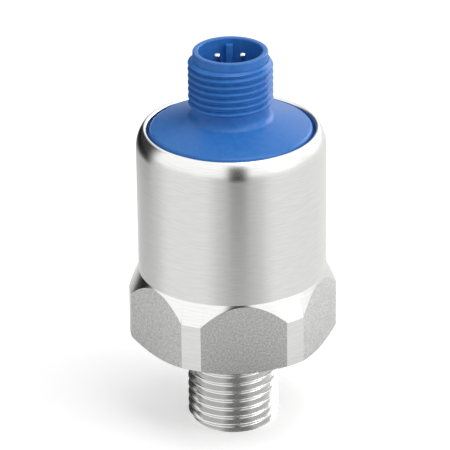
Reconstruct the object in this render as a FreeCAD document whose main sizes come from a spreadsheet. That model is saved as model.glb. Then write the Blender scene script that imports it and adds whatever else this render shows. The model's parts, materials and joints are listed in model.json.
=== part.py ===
import FreeCAD, Part
import Sketcher
import os

# Pressure transmitter: a turned stainless body with a parallel process thread and a
# hexagon, a ceramic pressure cell stacked inside it, and a moulded four-pin
# connector that the rolled rim of the can holds down.
# Millimetres, +Z up, origin in the middle of the end face of the process stud.

# ---------------------------------------------------------------- driving dimensions
SIZES = [
    # process stud
    ("stud_radius", 6.5785, "major radius of the G 1/4 A thread"),
    ("stud_length", 13.0, "end face to the underside of the hexagon"),
    ("stud_chamfer_depth", 0.81, "lead-in chamfer, radially"),
    ("stud_chamfer_length", 1.1, "lead-in chamfer, along the axis"),
    ("relief_depth", 0.98, "thread relief below the major radius"),
    ("relief_length", 1.7, "thread relief along the axis"),
    ("relief_undercut", 0.3, "thread relief into the underside of the hexagon"),
    ("relief_margin", 0.6, "undercut outside the major radius"),
    ("stud_pitch", 1.337, "G 1/4 A thread, 19 to the inch"),
    ("stud_thread_depth", 0.856, "crest to root of the G 1/4 A thread"),
    ("stud_crest_land", 0.22, "flat on each crest, along the axis"),
    ("stud_last_root", 1.055, "thread relief down to the nearest root"),
    ("stud_flank_angle", 27.5, "flanks from square to the axis, degrees"),
    ("port_radius", 2.5, "pressure port"),
    ("port_chamfer", 0.4, "chamfer at the mouth of the port"),
    # hexagon
    ("hex_flat_stand", 0.1, "flats outside the can"),
    ("hex_corner_stand", 1.42, "turned corners outside the can"),
    ("hex_chamfer_inset", 0.8, "lower chamfer starts this far inside the flats"),
    ("hex_chamfer_angle", 30.0, "lower chamfer, from horizontal"),
    ("hex_corner_length", 8.1, "underside to the top of the corner strips"),
    ("hex_cone_angle", 65.0, "upper cone, from horizontal"),
    # pressure cell and its seat
    ("cell_radius", 9.0, "ceramic cell"),
    ("cell_clearance", 0.2, "cell to its bore"),
    ("cell_seat_rise", 4.4, "hexagon underside to the cell seat"),
    ("seat_land_width", 0.9, "steel land under the edge of the cell"),
    ("seal_groove_width", 2.0, "face groove for the cell seal"),
    ("seal_groove_depth", 1.4, "face groove below the seat"),
    ("seal_side_gap", 0.13, "seal to each side of its groove"),
    ("seal_rounding", 0.55, "rounded corners of the squeezed seal"),
    ("chamber_depth", 0.4, "pressure chamber under the diaphragm"),
    ("diaphragm_thickness", 0.75, "ceramic diaphragm"),
    ("bond_thickness", 0.1, "glass bond"),
    ("bond_width", 1.6, "glass bond ring"),
    ("cell_base_thickness", 5.5, "ceramic base"),
    ("seat_bore_overrun", 0.65, "cell bore above the cell"),
    # can
    ("cavity_step", 2.4, "cavity outside the cell bore"),
    ("can_wall", 1.8, "wall of the can"),
    ("rim_wall", 0.8, "thinner wall round the connector flange"),
    ("lip_inset", 1.5, "edge of the rolled lip inside the can"),
    ("lip_rounding", 0.35, "rounding of the lip's edge"),
    ("flange_bore_depth", 2.8, "connector seat to the start of the lip's hook"),
    ("lip_hook_rise", 0.8, "height of the lip's sloping hook"),
    ("shoulder_radius", 4.33, "rounding of the can's shoulder"),
    ("shoulder_top", 6.69, "connector seat to where the shoulder would be level"),
    # spacer sleeve
    ("sleeve_length", 16.75, "cell to the connector seat"),
    ("sleeve_clearance", 0.2, "sleeve to the can"),
    ("sleeve_wall", 1.0, "sleeve above its ledge"),
    ("ledge_width", 1.2, "ledge that carries the board"),
    ("ledge_rise", 7.45, "cell to the ledge"),
    ("foot_inset", 0.1, "foot inside the edge of the cell"),
    ("foot_width", 0.9, "foot on the cell"),
    ("foot_length", 0.95, "foot below the sleeve's wide part"),
    ("sleeve_floor", 1.2, "thickness above the foot"),
    # board and its components
    ("board_clearance", 0.2, "board to the sleeve"),
    ("board_thickness", 1.6, "circuit board"),
    ("hole_clearance", 0.1, "soldered wires to their holes, radially"),
    ("lead_inset", 2.2, "cell leads inside the edge of the cell"),
    ("lead_radius", 0.25, "cell lead"),
    ("lead_end", 0.5, "cell leads above the board"),
    ("chip_width", 3.9, "signal chip across"),
    ("chip_length", 4.9, "signal chip along"),
    ("chip_thickness", 1.4, "signal chip"),
    ("chip_inset", 4.0, "middle of the signal chip inside the board's edge"),
    ("diode_width", 2.6, "protection diode across"),
    ("diode_length", 3.6, "protection diode along"),
    ("diode_thickness", 1.2, "protection diode"),
    ("diode_inset", 4.0, "middle of the protection diode inside the board's edge"),
    ("capacitor_width", 1.25, "capacitor across"),
    ("capacitor_length", 2.0, "capacitor along"),
    ("capacitor_thickness", 1.1, "capacitor"),
    ("capacitor_inset", 3.6, "middle of a capacitor inside the board's edge"),
    ("resistor_width", 0.8, "resistor across"),
    ("resistor_length", 1.6, "resistor along"),
    ("resistor_thickness", 0.45, "resistor"),
    ("resistor_inset", 2.2, "middle of a resistor inside the board's edge"),
    ("resistor_angle", 65.0, "resistors either side of the diode"),
    # connector body
    ("flange_clearance", 0.05, "flange to its bore"),
    ("flange_seal_width", 1.3, "squeezed flange seal, radially"),
    ("flange_seal_height", 1.6, "squeezed flange seal, along the axis"),
    ("skirt_wall", 1.5, "skirt that presses on the sleeve"),
    ("recess_depth", 3.5, "moulded recess above the connector seat"),
    ("boss_radius", 5.2, "boss that carries the pins"),
    ("boss_setback", 1.5, "boss above the connector seat"),
    ("disc_gap", 0.4, "disc to the edge of the lip"),
    ("disc_edge_rise", 5.1, "connector seat to the top of the disc's edge"),
    ("disc_rounding", 0.6, "rounded edge of the disc"),
    ("neck_foot_rise", 1.85, "disc edge to the foot of the neck"),
    ("neck_fillet", 1.2, "fillet at the foot of the neck"),
    ("neck_length", 1.75, "foot of the neck to the thread"),
    ("neck_step", 0.6, "neck below the thread's major radius"),
    ("thread_length", 6.7, "M12 thread"),
    ("thread_pitch", 1.0, "M12 thread"),
    ("thread_depth", 0.556, "crest to root of the M12 thread"),
    ("thread_crest_land", 0.2, "flat on each crest, along the axis"),
    ("thread_last_root", 0.65, "top of the thread down to the nearest root"),
    ("thread_flank_angle", 30.0, "flanks from square to the axis, degrees"),
    ("pilot_step", 0.72, "pilot ring below the thread's major radius"),
    ("pilot_length", 1.3, "plain ring above the thread"),
    ("pilot_wall", 0.81, "wall of the pilot ring"),
    ("thread_chamfer", 0.4, "chamfer under the thread, along the axis"),
    ("thread_lead_depth", 0.57, "lead-in above the thread, radially"),
    ("thread_lead_length", 0.5, "lead-in above the thread, along the axis"),
    ("socket_radius", 4.47, "inside of the connector"),
    ("socket_depth", 8.7, "rim to the socket's floor"),
    ("rim_rounding", 0.2, "rounded rim"),
    ("key_angle", 85.6, "coding key, from +X towards +Y"),
    ("key_width", 1.0, "coding key"),
    ("key_height", 0.75, "coding key, proud of the socket wall"),
    ("key_setback", 0.8, "rim to the top of the coding key"),
    # contact pins
    ("pin_circle_radius", 2.55, "circle of the contacts"),
    ("pin_radius", 0.5, "contact pin"),
    ("pin_setback", 1.2, "rim to the pin tips"),
    ("pin_tip_depth", 0.22, "chamfered pin tip, radially"),
    ("pin_tip_length", 0.4, "chamfered pin tip, along the axis"),
    ("pin_collar_radius", 0.8, "collar under the boss"),
    ("pin_collar_length", 0.8, "collar along the axis"),
    ("pin_tail_radius", 0.35, "solder tail"),
    ("pin_tail_end", 0.5, "solder tail below the board"),
]
ALIASES = [name for name, value, note in SIZES]

# Radii and heights worked out from the driving dimensions.
CELL_BORE = "cell_radius + cell_clearance"
CAVITY = CELL_BORE + " + cavity_step"
CAN = CAVITY + " + can_wall"
FLATS = CAN + " + hex_flat_stand"
CORNERS = CAN + " + hex_corner_stand"
CHAMFER_START = FLATS + " - hex_chamfer_inset"
SEAL_OUTER = CELL_BORE + " - seat_land_width"
SEAL_INNER = SEAL_OUTER + " - seal_groove_width"
FLANGE_BORE = CAN + " - rim_wall"
LIP = CAN + " - lip_inset"
DISC = LIP + " - disc_gap"
SLEEVE = CAVITY + " - sleeve_clearance"
SLEEVE_BORE = SLEEVE + " - sleeve_wall"
LEDGE = SLEEVE_BORE + " - ledge_width"
BOARD = SLEEVE_BORE + " - board_clearance"
LEAD_CIRCLE = "( cell_radius - lead_inset )"
FOOT = "cell_radius - foot_inset"
SEAL_SEAT = FLANGE_BORE + " - flange_seal_width"
PILOT = "socket_radius + pilot_wall"
THREAD = PILOT + " + pilot_step"
NECK = THREAD + " - neck_step"

HEX_Z = "stud_length"
SEAT_Z = HEX_Z + " + cell_seat_rise"
GROOVE_Z = SEAT_Z + " - seal_groove_depth"
BOND_Z = SEAT_Z + " + diaphragm_thickness"
BASE_Z = BOND_Z + " + bond_thickness"
CELL_TOP_Z = BASE_Z + " + cell_base_thickness"
CAVITY_Z = CELL_TOP_Z + " + seat_bore_overrun"
BOARD_Z = CELL_TOP_Z + " + ledge_rise"
BOARD_TOP_Z = BOARD_Z + " + board_thickness"
CONNECTOR_Z = CELL_TOP_Z + " + sleeve_length"
HOOK_Z = CONNECTOR_Z + " + flange_bore_depth"
CAN_TOP_Z = CONNECTOR_Z + " + shoulder_top"
LIP_EDGE_Z = CAN_TOP_Z + (
    " - shoulder_radius + sqrt( shoulder_radius ^ 2 - ( shoulder_radius - lip_inset ) ^ 2 )")
DISC_Z = CONNECTOR_Z + " + disc_edge_rise"
NECK_Z = DISC_Z + " + neck_foot_rise"
THREAD_Z = NECK_Z + " + neck_length"
PILOT_Z = THREAD_Z + " + thread_length"
RIM_Z = PILOT_Z + " + pilot_length"
SOCKET_Z = RIM_Z + " - socket_depth"
BOSS_Z = CONNECTOR_Z + " + boss_setback"

# The lip's hook slopes from the flange bore in to the lip's edge.
HOOK_RUN = "( lip_inset - rim_wall )"
HOOK_SLOPE = "lip_hook_rise / " + HOOK_RUN

doc = FreeCAD.newDocument("PressureTransmitter")
sheet = doc.addObject("Spreadsheet::Sheet", "Sizes")


def fill_sheet():
    for row, (name, value, note) in enumerate(SIZES, start=1):
        sheet.set("A%d" % row, name)
        sheet.set("B%d" % row, str(value))
        sheet.set("C%d" % row, note)
        sheet.setAlias("B%d" % row, name)
    doc.recompute()


def bound(formula):
    """The formula with each size's name turned into a reference to its cell."""
    words = formula.split()
    return " ".join("Sizes." + word if word in ALIASES else word for word in words)


def amount(formula):
    """What a formula is worth now, as a plain number."""
    return float(sheet.evalExpression(bound(formula)))


def new_body(name):
    body = doc.addObject("PartDesign::Body", name)
    body.Label = name
    return body


def origin_part(body, role):
    return [part for part in body.Origin.OriginFeatures if part.Role == role][0]


def new_sketch(body, name, role):
    sketch = body.newObject("Sketcher::SketchObject", name)
    sketch.AttachmentSupport = [(origin_part(body, role), "")]
    sketch.MapMode = "FlatFace"
    return sketch


def place_point(sketch, line, across, along):
    """Hold the start of a line at a distance across and along from the origin."""
    if across == "0":
        sketch.addConstraint(Sketcher.Constraint("PointOnObject", line, 1, -2))
    else:
        index = sketch.addConstraint(
            Sketcher.Constraint("DistanceX", -1, 1, line, 1, amount(across)))
        sketch.setExpression("Constraints[%d]" % index, bound(across))
    if along == "0":
        sketch.addConstraint(Sketcher.Constraint("PointOnObject", line, 1, -1))
    else:
        index = sketch.addConstraint(
            Sketcher.Constraint("DistanceY", -1, 1, line, 1, amount(along)))
        sketch.setExpression("Constraints[%d]" % index, bound(along))


def outline_sketch(body, name, role, outline):
    """A closed outline of straight lines through the points, each held by formulas."""
    sketch = new_sketch(body, name, role)
    corners = [FreeCAD.Vector(amount(across), amount(along), 0) for across, along in outline]
    count = len(corners)
    for index in range(count):
        sketch.addGeometry(Part.LineSegment(corners[index], corners[(index + 1) % count]))
    for index in range(count):
        sketch.addConstraint(
            Sketcher.Constraint("Coincident", index, 2, (index + 1) % count, 1))
    for index, (across, along) in enumerate(outline):
        place_point(sketch, index, across, along)
    return sketch


def turned(body, name, kind, outline):
    """A Revolution or Groove of an outline of (radius, height) about the Z axis."""
    sketch = outline_sketch(body, name + "Outline", "XZ_Plane", outline)
    feature = body.newObject("PartDesign::" + kind, name)
    feature.Profile = sketch
    feature.ReferenceAxis = (sketch, ["V_Axis"])
    feature.Angle = 360
    doc.recompute()
    return feature


def edge_rings(feature, radius, height):
    """Names of the circular edges of a feature at this radius and height."""
    wanted_radius = amount(radius)
    wanted_height = amount(height)
    names = []
    for number, edge in enumerate(feature.Shape.Edges, start=1):
        curve = edge.Curve
        if not isinstance(curve, Part.Circle):
            continue
        if abs(curve.Radius - wanted_radius) > 0.001:
            continue
        if abs(curve.Center.z - wanted_height) < 0.001:
            names.append("Edge%d" % number)
    return names


def rounded(body, name, feature, rings, radius):
    """Round the circular edges given as (radius, height) pairs."""
    names = [edge for ring in rings for edge in edge_rings(feature, *ring)]
    if not names:
        raise RuntimeError("no edge to round for " + name)
    fillet = body.newObject("PartDesign::Fillet", name)
    fillet.Base = (feature, names)
    fillet.setExpression("Radius", bound(radius))
    doc.recompute()
    return fillet


def thread_rings(body, name, major, last_root_z, length, pitch, depth, land, angle):
    """Cut a thread's form as equal rings, from the nearest root downward."""
    before = body.Tip.Shape.Volume
    beyond = depth
    root_half = "( %s - %s ) / 2 - %s * tan( %s )" % (pitch, land, depth, angle)
    open_half = "( %s - %s ) / 2 + %s * tan( %s )" % (pitch, land, beyond, angle)
    ring = turned(body, name, "Groove", [
        ("%s + %s" % (major, beyond), "%s - ( %s )" % (last_root_z, open_half)),
        ("%s + %s" % (major, beyond), "%s + %s" % (last_root_z, open_half)),
        ("%s - %s" % (major, depth), "%s + %s" % (last_root_z, root_half)),
        ("%s - %s" % (major, depth), "%s - ( %s )" % (last_root_z, root_half)),
    ])
    steps = "floor( ( %s ) / %s )" % (length, pitch)
    rings = body.newObject("PartDesign::LinearPattern", name + "Rings")
    rings.Originals = [ring]
    rings.Direction = (origin_part(body, "Z_Axis"), [""])
    rings.Reversed = True
    rings.setExpression("Length", bound("%s * %s" % (pitch, steps)))
    rings.Occurrences = int(amount(steps)) + 1
    body.Tip = rings
    doc.recompute()
    if rings.Shape.Volume >= before:
        raise RuntimeError("the thread %s cuts nothing" % name)
    return rings


def drilled_ring(body, name, feature, circle_radius, hole_radius, start_angle):
    """Four upward through holes on a circle about the Z axis."""
    before = feature.Shape.Volume
    sketch = new_sketch(body, name + "Outline", "XY_Plane")
    centre = FreeCAD.Vector(amount(circle_radius), 0, 0)
    sketch.addGeometry(Part.Circle(centre, FreeCAD.Vector(0, 0, 1), amount(hole_radius)))
    sketch.addConstraint(Sketcher.Constraint("PointOnObject", 0, 3, -1))
    index = sketch.addConstraint(
        Sketcher.Constraint("DistanceX", -1, 1, 0, 3, amount(circle_radius)))
    sketch.setExpression("Constraints[%d]" % index, bound(circle_radius))
    index = sketch.addConstraint(Sketcher.Constraint("Radius", 0, amount(hole_radius)))
    sketch.setExpression("Constraints[%d]" % index, bound(hole_radius))
    sketch.setExpression(".AttachmentOffset.Rotation.Angle", bound(start_angle))
    pocket = body.newObject("PartDesign::Pocket", name)
    pocket.Profile = sketch
    pocket.Type = "ThroughAll"
    pocket.Reversed = True
    doc.recompute()
    pattern = body.newObject("PartDesign::PolarPattern", name + "Pattern")
    pattern.Originals = [pocket]
    pattern.Axis = (origin_part(body, "Z_Axis"), [""])
    pattern.Angle = 360
    pattern.Occurrences = 4
    body.Tip = pattern
    doc.recompute()
    if pattern.Shape.Volume >= before:
        raise RuntimeError(name + " cuts nothing")
    return pattern


# ---------------------------------------------------------------------- steel body
def make_steel_body():
    body = new_body("steel_body")
    corner_top = HEX_Z + " + hex_corner_length"
    cone_top = corner_top + " + hex_corner_stand * tan( hex_cone_angle )"
    corner_bottom = HEX_Z + (
        " + ( hex_corner_stand - hex_flat_stand + hex_chamfer_inset ) * tan( hex_chamfer_angle )")
    bar_corner = "( " + FLATS + " ) / cos(30)"
    bar = body.newObject("PartDesign::AdditivePrism", "HexagonBar")
    bar.Polygon = 6
    bar.setExpression("Circumradius", bound(bar_corner))
    bar.setExpression("Height", bound(cone_top + " - " + HEX_Z))
    bar.setExpression(".AttachmentOffset.Base.z", bound(HEX_Z))
    bar.AttachmentSupport = [(origin_part(body, "XY_Plane"), "")]
    bar.MapMode = "FlatFace"
    doc.recompute()
    beyond = bar_corner + " + hex_corner_stand"
    turned(body, "TurnedCorners", "Groove", [
        (CHAMFER_START, HEX_Z),
        (beyond, HEX_Z),
        (beyond, cone_top),
        (CAN, cone_top),
        (CORNERS, corner_top),
        (CORNERS, corner_bottom),
    ])
    core = turned(body, "StudAndCan", "Revolution", [
        ("0", "0"),
        ("stud_radius - stud_chamfer_depth", "0"),
        ("stud_radius", "stud_chamfer_length"),
        ("stud_radius", corner_bottom),
        (CAN, corner_bottom),
        (CAN, CAN_TOP_Z),
        ("0", CAN_TOP_Z),
    ])
    rounded(body, "Shoulder", core, [(CAN, CAN_TOP_Z)], "shoulder_radius")
    thread_rings(body, "StudThread", "stud_radius",
                 HEX_Z + " - relief_length - stud_last_root",
                 HEX_Z + " - relief_length - stud_last_root",
                 "stud_pitch", "stud_thread_depth", "stud_crest_land", "stud_flank_angle")
    turned(body, "ThreadRelief", "Groove", [
        ("stud_radius - relief_depth", HEX_Z + " - relief_length"),
        ("stud_radius + relief_margin", HEX_Z + " - relief_length"),
        ("stud_radius + relief_margin", HEX_Z + " + relief_undercut"),
        ("stud_radius - relief_depth", HEX_Z + " + relief_undercut"),
    ])
    inside = turned(body, "Inside", "Groove", [
        ("0", "0"),
        ("port_radius + port_chamfer", "0"),
        ("port_radius", "port_chamfer"),
        ("port_radius", SEAT_Z + " - chamber_depth"),
        (SEAL_INNER, SEAT_Z + " - chamber_depth"),
        (SEAL_INNER, GROOVE_Z),
        (SEAL_OUTER, GROOVE_Z),
        (SEAL_OUTER, SEAT_Z),
        (CELL_BORE, SEAT_Z),
        (CELL_BORE, CAVITY_Z),
        (CAVITY, CAVITY_Z),
        (CAVITY, CONNECTOR_Z),
        (FLANGE_BORE, CONNECTOR_Z),
        (FLANGE_BORE, HOOK_Z),
        (LIP, HOOK_Z + " + lip_hook_rise"),
        (LIP, CAN_TOP_Z),
        ("0", CAN_TOP_Z),
    ])
    rounded(body, "LipEdge", inside, [(LIP, LIP_EDGE_Z)], "lip_rounding")
    return body


# ------------------------------------------------------------------- pressure cell
def make_ring(name, inner, outer, bottom, top, rounding=None):
    """A flat ring, or a disc when its inner radius is 0, with rounded edges if asked."""
    body = new_body(name)
    ring = turned(body, "Ring", "Revolution", [
        (inner, bottom), (outer, bottom), (outer, top), (inner, top)])
    if rounding:
        edges = [(inner, bottom), (outer, bottom), (outer, top), (inner, top)]
        rounded(body, "Rounding", ring, edges, rounding)
    return body


def make_pressure_cell():
    inner = SEAL_INNER + " + seal_side_gap"
    outer = SEAL_OUTER + " - seal_side_gap"
    return [
        make_ring("cell_o_ring", inner, outer, GROOVE_Z, SEAT_Z, "seal_rounding"),
        make_ring("ceramic_diaphragm", "0", "cell_radius", SEAT_Z, BOND_Z),
        make_ring("glass_bond_ring", "cell_radius - bond_width", "cell_radius",
                  BOND_Z, BASE_Z),
        make_ring("ceramic_base", "0", "cell_radius", BASE_Z, CELL_TOP_Z),
    ]


def make_spacer_sleeve():
    body = new_body("spacer_sleeve")
    wide_z = CELL_TOP_Z + " + foot_length"
    turned(body, "Sleeve", "Revolution", [
        (FOOT + " - foot_width", CELL_TOP_Z),
        (FOOT, CELL_TOP_Z),
        (FOOT, wide_z),
        (SLEEVE, wide_z),
        (SLEEVE, CONNECTOR_Z),
        (SLEEVE_BORE, CONNECTOR_Z),
        (SLEEVE_BORE, BOARD_Z),
        (LEDGE, BOARD_Z),
        (LEDGE, wide_z + " + sleeve_floor"),
        (FOOT + " - foot_width", wide_z + " + sleeve_floor"),
    ])
    return body


# ----------------------------------------------------------------------- electronics
def make_circuit_board():
    body = new_body("circuit_board")
    disc = turned(body, "Board", "Revolution", [
        ("0", BOARD_Z),
        (BOARD, BOARD_Z),
        (BOARD, BOARD_TOP_Z),
        ("0", BOARD_TOP_Z),
    ])
    holes = drilled_ring(body, "PinHoles", disc, "pin_circle_radius",
                         "pin_tail_radius + hole_clearance", "key_angle + 45")
    drilled_ring(body, "LeadHoles", holes, LEAD_CIRCLE,
                 "lead_radius + hole_clearance", "45")
    return body


def make_chip(name, size, angle):
    """A component standing on the board, turned to face the axis."""
    box = doc.addObject("Part::Box", name)
    box.Label = name
    box.setExpression("Length", bound(size + "_width"))
    box.setExpression("Width", bound(size + "_length"))
    box.setExpression("Height", bound(size + "_thickness"))
    box.Placement = FreeCAD.Placement(
        FreeCAD.Vector(0, 0, 0), FreeCAD.Rotation(FreeCAD.Vector(0, 0, 1), amount(angle)))
    half_width = size + "_width / 2"
    half_length = size + "_length / 2"
    inner = "( " + BOARD + " - " + size + "_inset - " + half_width + " )"
    cosine = "cos( " + angle + " )"
    sine = "sin( " + angle + " )"
    box.setExpression(".Placement.Rotation.Angle", bound(angle))
    box.setExpression(".Placement.Base.x",
                      bound(inner + " * " + cosine + " + " + half_length + " * " + sine))
    box.setExpression(".Placement.Base.y",
                      bound(inner + " * " + sine + " - " + half_length + " * " + cosine))
    box.setExpression(".Placement.Base.z", bound(BOARD_TOP_Z))
    return box


def make_components():
    return [
        make_chip("signal_chip", "chip", "180"),
        make_chip("protection_diode", "diode", "0"),
        make_chip("capacitor_1", "capacitor", "90"),
        make_chip("capacitor_2", "capacitor", "270"),
        make_chip("resistor_1", "resistor", "resistor_angle"),
        make_chip("resistor_2", "resistor", "360 - resistor_angle"),
    ]


def make_cell_leads():
    leads = []
    for number in range(4):
        name = "cell_lead_%d" % (number + 1)
        angle = "%d" % (45 + 90 * number)
        lead = doc.addObject("Part::Cylinder", name)
        lead.Label = name
        lead.setExpression("Radius", bound("lead_radius"))
        lead.setExpression("Height", bound("ledge_rise + board_thickness + lead_end"))
        lead.setExpression(".Placement.Base.x", bound(LEAD_CIRCLE + " * cos(" + angle + ")"))
        lead.setExpression(".Placement.Base.y", bound(LEAD_CIRCLE + " * sin(" + angle + ")"))
        lead.setExpression(".Placement.Base.z", bound(CELL_TOP_Z))
        leads.append(lead)
    return leads


# ------------------------------------------------------------------------- connector
def make_connector_body():
    body = new_body("connector_body")
    flange = FLANGE_BORE + " - flange_clearance"
    hook_start = HOOK_Z + " + flange_clearance * " + HOOK_SLOPE
    hook_end = HOOK_Z + " + lip_hook_rise + disc_gap * " + HOOK_SLOPE
    skirt_inner = SEAL_SEAT + " - skirt_wall"
    recess_z = CONNECTOR_Z + " + recess_depth"
    shell = turned(body, "Moulding", "Revolution", [
        ("0", BOSS_Z),
        ("boss_radius", BOSS_Z),
        ("boss_radius", recess_z),
        (skirt_inner, recess_z),
        (skirt_inner, CONNECTOR_Z),
        (SEAL_SEAT, CONNECTOR_Z),
        (SEAL_SEAT, CONNECTOR_Z + " + flange_seal_height"),
        (flange, CONNECTOR_Z + " + flange_seal_height"),
        (flange, hook_start),
        (DISC, hook_end),
        (DISC, DISC_Z),
        (NECK, NECK_Z),
        (NECK, THREAD_Z),
        (NECK + " + neck_step", THREAD_Z + " + thread_chamfer"),
        (THREAD, PILOT_Z + " - thread_lead_length"),
        (THREAD + " - thread_lead_depth", PILOT_Z),
        (PILOT, PILOT_Z),
        (PILOT, RIM_Z),
        ("socket_radius", RIM_Z),
        ("socket_radius", SOCKET_Z),
        ("0", SOCKET_Z),
    ])
    disc = rounded(body, "DiscEdge", shell, [(DISC, DISC_Z)], "disc_rounding")
    foot = rounded(body, "NeckFoot", disc, [(NECK, NECK_Z)], "neck_fillet")
    rounded(body, "Rim", foot, [(PILOT, RIM_Z), ("socket_radius", RIM_Z)],
            "rim_rounding")
    rim = thread_rings(body, "SleeveThread", THREAD, PILOT_Z + " - thread_last_root",
                       "thread_length - thread_last_root - thread_chamfer",
                       "thread_pitch", "thread_depth", "thread_crest_land",
                       "thread_flank_angle")
    keyed = add_key(body, rim)
    drilled_ring(body, "PinBores", keyed, "pin_circle_radius", "pin_radius",
                 "key_angle + 45")
    return body


def add_key(body, feature):
    """The coding key, a rib on the socket wall from its floor nearly to the rim."""
    before = feature.Shape.Volume
    key = body.newObject("PartDesign::AdditiveBox", "CodingKey")
    key.AttachmentSupport = [(origin_part(body, "XY_Plane"), "")]
    key.MapMode = "FlatFace"
    key.setExpression("Length", bound("key_height + pilot_wall / 2"))
    key.setExpression("Width", bound("key_width"))
    key.setExpression("Height", bound("socket_depth - key_setback"))
    inner = "( socket_radius - key_height )"
    side = "key_width / 2"
    key.setExpression(".AttachmentOffset.Rotation.Angle", bound("key_angle"))
    key.setExpression(".AttachmentOffset.Base.x", bound(
        inner + " * cos( key_angle ) + " + side + " * sin( key_angle )"))
    key.setExpression(".AttachmentOffset.Base.y", bound(
        inner + " * sin( key_angle ) - " + side + " * cos( key_angle )"))
    key.setExpression(".AttachmentOffset.Base.z", bound(SOCKET_Z))
    doc.recompute()
    if key.Shape.Volume <= before:
        raise RuntimeError("the coding key adds nothing")
    return key


def make_connector_seal():
    top = CONNECTOR_Z + " + flange_seal_height"
    return make_ring("connector_o_ring", SEAL_SEAT, FLANGE_BORE, CONNECTOR_Z, top,
                     "seal_rounding")


def make_contact_pins():
    pins = []
    tip_z = RIM_Z + " - pin_setback"
    tail_z = BOARD_Z + " - pin_tail_end"
    collar_z = BOSS_Z + " - pin_collar_length"
    for number in range(4):
        body = new_body("contact_pin_%d" % (number + 1))
        turned(body, "Pin", "Revolution", [
            ("0", tail_z),
            ("pin_tail_radius", tail_z),
            ("pin_tail_radius", collar_z),
            ("pin_collar_radius", collar_z),
            ("pin_collar_radius", BOSS_Z),
            ("pin_radius", BOSS_Z),
            ("pin_radius", tip_z + " - pin_tip_length"),
            ("pin_radius - pin_tip_depth", tip_z),
            ("0", tip_z),
        ])
        angle = "( key_angle + %d )" % (45 + 90 * number)
        body.setExpression(".Placement.Base.x", bound("pin_circle_radius * cos" + angle))
        body.setExpression(".Placement.Base.y", bound("pin_circle_radius * sin" + angle))
        pins.append(body)
    return pins


# ----------------------------------------------------------------------------- export
def check_document():
    for item in doc.Objects:
        if "Invalid" in item.State or "Error" in item.State:
            raise RuntimeError("%s did not compute: %s" % (item.Label, item.State))


def check_part(item):
    if item.Shape.isNull() or not item.Shape.isValid():
        raise RuntimeError(item.Label + " has no valid shape")


def main():
    fill_sheet()
    parts = [make_steel_body()]
    parts += make_pressure_cell()
    parts.append(make_spacer_sleeve())
    parts.append(make_circuit_board())
    parts += make_components()
    parts += make_cell_leads()
    parts += [make_connector_body(), make_connector_seal()]
    parts += make_contact_pins()
    doc.recompute()
    check_document()
    for item in parts:
        check_part(item)
    os.makedirs("parts", exist_ok=True)
    for item in parts:
        item.Shape.exportStep("parts/%s.step" % item.Label)
        box = item.Shape.BoundBox
        print("%-18s %2d solid %10.3f mm3  z %7.3f %7.3f" % (
            item.Label, len(item.Shape.Solids), item.Shape.Volume, box.ZMin, box.ZMax))


main()
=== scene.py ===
# %% [markdown]
# # Dressing a pressure transmitter
# A pressure transmitter screws into a pipe by its lower stud and takes a cable on top.
# The solid model already gives every piece its size and place. This lesson gives the
# visible pieces their real threads, soft edges and finishes, one step at a time.
# The first step loads the solid model as a fixed frame. Everything else is placed by
# asking that frame, so nothing has to be fitted by eye afterwards.

# %% Load the frame
import json
import math

import bpy
from mathutils import Matrix, Vector


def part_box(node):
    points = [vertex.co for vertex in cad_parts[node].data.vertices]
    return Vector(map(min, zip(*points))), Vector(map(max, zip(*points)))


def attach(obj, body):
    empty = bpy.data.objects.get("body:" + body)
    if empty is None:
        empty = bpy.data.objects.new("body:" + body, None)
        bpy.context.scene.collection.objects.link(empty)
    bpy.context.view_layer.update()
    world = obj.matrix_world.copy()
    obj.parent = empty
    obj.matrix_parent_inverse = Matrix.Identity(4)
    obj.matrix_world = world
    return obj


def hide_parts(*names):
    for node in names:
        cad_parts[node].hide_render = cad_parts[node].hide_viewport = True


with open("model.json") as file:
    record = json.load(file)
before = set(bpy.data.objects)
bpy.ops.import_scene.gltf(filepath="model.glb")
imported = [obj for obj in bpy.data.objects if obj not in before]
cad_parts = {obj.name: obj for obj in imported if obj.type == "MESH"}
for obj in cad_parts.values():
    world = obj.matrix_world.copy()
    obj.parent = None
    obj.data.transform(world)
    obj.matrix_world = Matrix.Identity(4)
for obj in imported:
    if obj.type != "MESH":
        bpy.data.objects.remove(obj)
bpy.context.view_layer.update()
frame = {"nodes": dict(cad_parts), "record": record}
bpy.ops.object.select_all(action="DESELECT")
print("pieces in the frame:", len(frame["nodes"]))

# %% [markdown]
# ## Sizes
# A turned part is drawn as its makers draw it: radii and heights in millimetres. The
# sizes that mate with other parts come from the model's own record and boxes, so they
# can't drift from it. The rest belong to one piece, and are named where it is drawn.

# %% Sizes from the frame
MM = 0.001
mounts = {mount["name"]: mount for mount in frame["record"]["mounts"]}


def low_mm(node):
    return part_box(node)[0] / MM


def high_mm(node):
    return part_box(node)[1] / MM


STUD_RADIUS = mounts["process_thread"]["dims"]["r_mm"]
PORT_RADIUS = mounts["pressure_port"]["dims"]["r_mm"]
THREAD_RADIUS = mounts["connector_thread"]["dims"]["r_mm"]
HEX_Z = mounts["sealing_face"]["pos_m"][2] / MM
FLAT_RADIUS = high_mm("steel_body").y
CORNER_RADIUS = high_mm("steel_body").x
LIP_Z = high_mm("steel_body").z
SEAT_Z = low_mm("ceramic_diaphragm").z
GROOVE_Z = low_mm("cell_o_ring").z
CELL_TOP_Z = high_mm("ceramic_base").z
CONNECTOR_Z = low_mm("connector_body").z
RIM_Z = high_mm("connector_body").z
PIN_TIP_Z = high_mm("contact_pin_1").z
PIN_TAIL_Z = low_mm("contact_pin_1").z
print("stud %.2f, hexagon %.2f across flats, overall %.2f" % (
    2 * STUD_RADIUS, 2 * FLAT_RADIUS, RIM_Z))

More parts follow.
